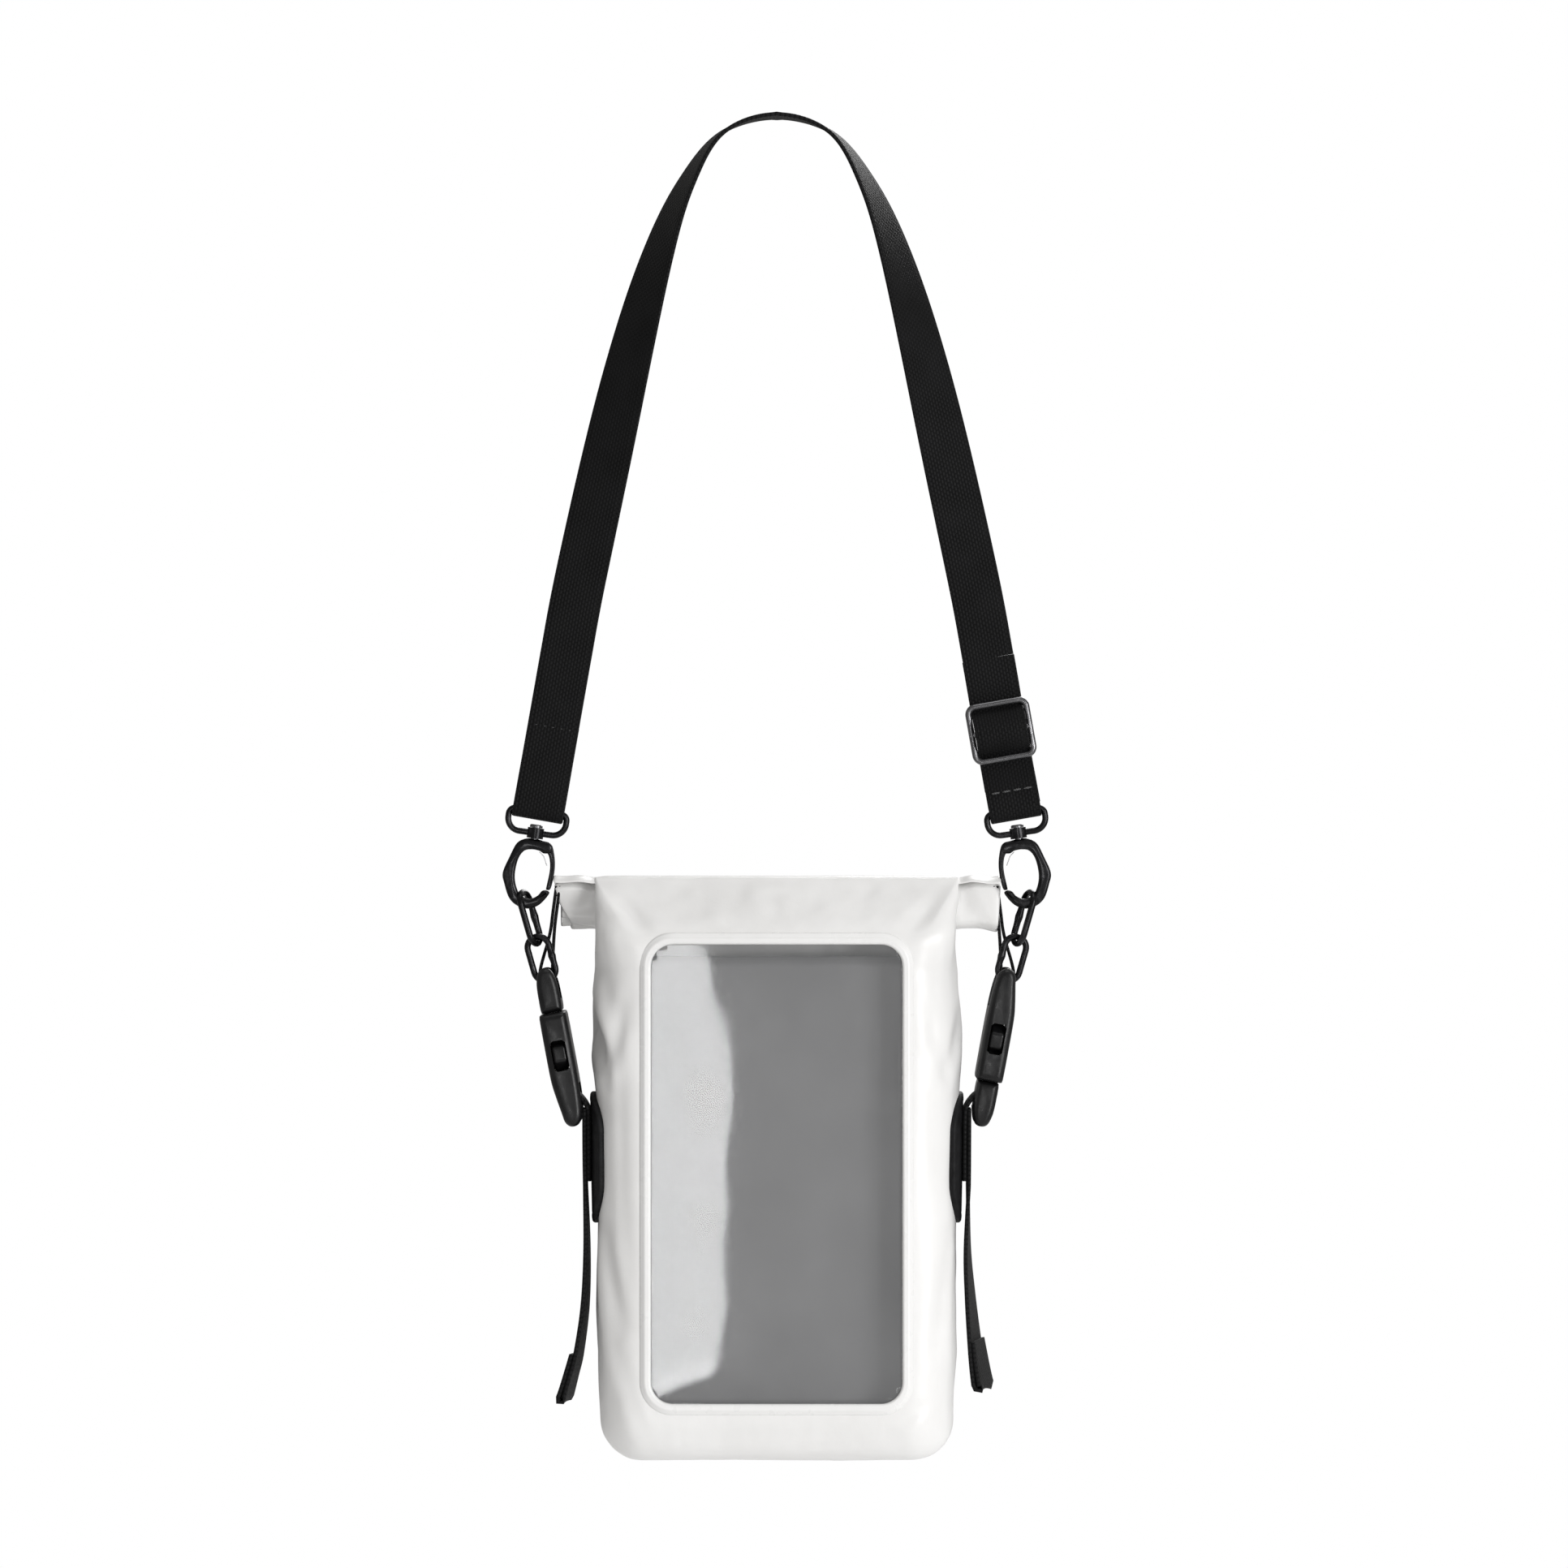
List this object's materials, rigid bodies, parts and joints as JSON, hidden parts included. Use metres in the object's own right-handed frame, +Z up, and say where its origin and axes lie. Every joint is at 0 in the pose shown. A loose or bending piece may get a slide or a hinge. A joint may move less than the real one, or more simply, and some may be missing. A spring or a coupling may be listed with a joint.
{
  "type": "roll-top dry bag",
  "caption": "Small roll-top dry bag with a clear phone window, side-release buckles, snap hooks and an adjustable shoulder strap.",
  "frame": {"origin": "under the crown of the shoulder strap, where the bag hangs from a peg or a shoulder", "axes": "+Z up along the hanging strap; the phone window faces -Y; +X to the right seen from the window side"},
  "size_m": [0.2107, 0.0513, 0.5214],
  "materials": {
    "black_webbing": "matte woven",
    "thread": "twisted thread",
    "black_metal": "satin",
    "gate_spring_steel": "plain",
    "black_plastic": "satin moulded",
    "black_rubber": "matte",
    "clear_film": "clear gloss",
    "stiffener_plastic": "plain",
    "pocket_film": "satin coated film",
    "white_film": "satin coated film"
  },
  "bodies": {
    "strap": {"shoulder_strap": "black_webbing", "strap_left_run": "black_webbing", "strap_left_fold": "black_webbing", "strap_right_fold": "black_webbing", "strap_right_run": "black_webbing", "strap_return_layer": "black_webbing", "fold_stitches": "thread", "stop_stitches": "thread"},
    "adjuster": {"adjuster_frame": "black_metal", "adjuster_center_bar": "black_metal", "strap_sewn_end": "black_webbing"},
    "left_loop": {"left_d_loop": "black_metal"},
    "left_snap": {"left_hook": "black_metal", "left_swivel_post": "black_metal", "left_gate_pin": "black_metal", "left_gate_spring": "gate_spring_steel"},
    "left_gate_arm": {"left_gate": "black_metal"},
    "left_front_latch": {"left_front_prong": "black_plastic"},
    "left_back_latch": {"left_back_prong": "black_plastic"},
    "left_hanging_tail": {"left_tail": "black_webbing"},
    "right_loop": {"right_d_loop": "black_metal"},
    "right_snap": {"right_hook": "black_metal", "right_swivel_post": "black_metal", "right_gate_pin": "black_metal", "right_gate_spring": "gate_spring_steel"},
    "right_gate_arm": {"right_gate": "black_metal"},
    "right_front_latch": {"right_front_prong": "black_plastic"},
    "right_back_latch": {"right_back_prong": "black_plastic"},
    "right_hanging_tail": {"right_tail": "black_webbing"},
    "bag": {"front_panel": "white_film", "back_panel": "white_film", "left_side_panel": "white_film", "right_side_panel": "white_film", "bottom_panel": "white_film", "collar": "white_film", "roll_top": "white_film", "closure_stiffeners": "stiffener_plastic", "phone_window": "clear_film", "window_rim": "white_film", "pocket_backing": "pocket_film", "pocket_gussets": "pocket_film", "left_patch": "black_rubber", "left_roll_tab": "black_webbing", "left_link_1": "black_metal", "left_link_2": "black_metal", "left_buckle_male": "black_plastic", "left_buckle_female": "black_plastic", "left_side_webbing": "black_webbing", "right_patch": "black_rubber", "right_roll_tab": "black_webbing", "right_link_1": "black_metal", "right_link_2": "black_metal", "right_buckle_male": "black_plastic", "right_buckle_female": "black_plastic", "right_side_webbing": "black_webbing"}
  },
  "joints": [
    {"name": "left_loop_swing", "type": "hinge", "parent": "strap", "child": "left_loop", "pos_m": [0, 0, -0.2703], "axis": [1, 0, 0], "range_deg": [-12, 12]},
    {"name": "right_loop_swing", "type": "hinge", "parent": "strap", "child": "right_loop", "pos_m": [0, 0, -0.2703], "axis": [1, 0, 0], "range_deg": [-12, 12]},
    {"name": "bag_swing", "type": "hinge", "parent": "left_loop", "child": "bag", "pos_m": [0, 0, -0.30605], "axis": [1, 0, 0], "range_deg": [-16, 16]},
    {"name": "adjuster_slide", "type": "slide", "parent": "strap", "child": "adjuster", "axis": [-0.1736, 0, 0.9848], "range_m": [0, 0.014], "deforming": ["strap_right_run", "strap_return_layer"]},
    {"name": "left_hook_swivel", "type": "hinge", "parent": "left_loop", "child": "left_snap", "pos_m": [-0.09361, 0, -0.27892], "axis": [0.1392, 0, 0.9903], "range_deg": [-8, 8]},
    {"name": "left_gate_open", "type": "hinge", "parent": "left_snap", "child": "left_gate_arm", "pos_m": [-0.08875, 0, -0.28455], "axis": [0, 1, 0], "range_deg": [0, 22], "stiffness_Nm_per_rad": 0.01, "springref_deg": -11.46, "deforming": ["left_gate_spring"]},
    {"name": "left_front_squeeze", "type": "hinge", "parent": "bag", "child": "left_front_latch", "pos_m": [-0.08651, -0.008, -0.35007], "axis": [0.9833, 0, 0.1822], "range_deg": [0, 9], "stiffness_Nm_per_rad": 0.05, "springref_deg": -2.86},
    {"name": "left_back_squeeze", "type": "hinge", "parent": "bag", "child": "left_back_latch", "pos_m": [-0.08651, 0.008, -0.35007], "axis": [-0.9833, 0, -0.1822], "range_deg": [0, 9], "stiffness_Nm_per_rad": 0.05, "springref_deg": -2.86},
    {"name": "left_tail_lift", "type": "hinge", "parent": "bag", "child": "left_hanging_tail", "pos_m": [-0.07435, 0, -0.386], "axis": [0, 1, 0], "range_deg": [0, 24]},
    {"name": "right_hook_swivel", "type": "hinge", "parent": "right_loop", "child": "right_snap", "pos_m": [0.09361, 0, -0.27892], "axis": [-0.1392, 0, 0.9903], "range_deg": [-8, 8]},
    {"name": "right_gate_open", "type": "hinge", "parent": "right_snap", "child": "right_gate_arm", "pos_m": [0.08875, 0, -0.28455], "axis": [0, -1, 0], "range_deg": [0, 22], "stiffness_Nm_per_rad": 0.01, "springref_deg": -11.46, "deforming": ["right_gate_spring"]},
    {"name": "right_front_squeeze", "type": "hinge", "parent": "bag", "child": "right_front_latch", "pos_m": [0.08223, -0.008, -0.37317], "axis": [-0.9833, 0, 0.1822], "range_deg": [0, 9], "stiffness_Nm_per_rad": 0.05, "springref_deg": -2.86},
    {"name": "right_back_squeeze", "type": "hinge", "parent": "bag", "child": "right_back_latch", "pos_m": [0.08223, 0.008, -0.37317], "axis": [0.9833, 0, -0.1822], "range_deg": [0, 9], "stiffness_Nm_per_rad": 0.05, "springref_deg": -2.86},
    {"name": "right_tail_lift", "type": "hinge", "parent": "bag", "child": "right_hanging_tail", "pos_m": [0.07435, 0, -0.386], "axis": [0, -1, 0], "range_deg": [0, 24]}
  ],
  "couplings": [
    {"joint": "right_loop_swing", "follows": "left_loop_swing", "ratio": 1},
    {"joint": "left_back_squeeze", "follows": "left_front_squeeze", "ratio": 1},
    {"joint": "right_back_squeeze", "follows": "right_front_squeeze", "ratio": 1}
  ]
}
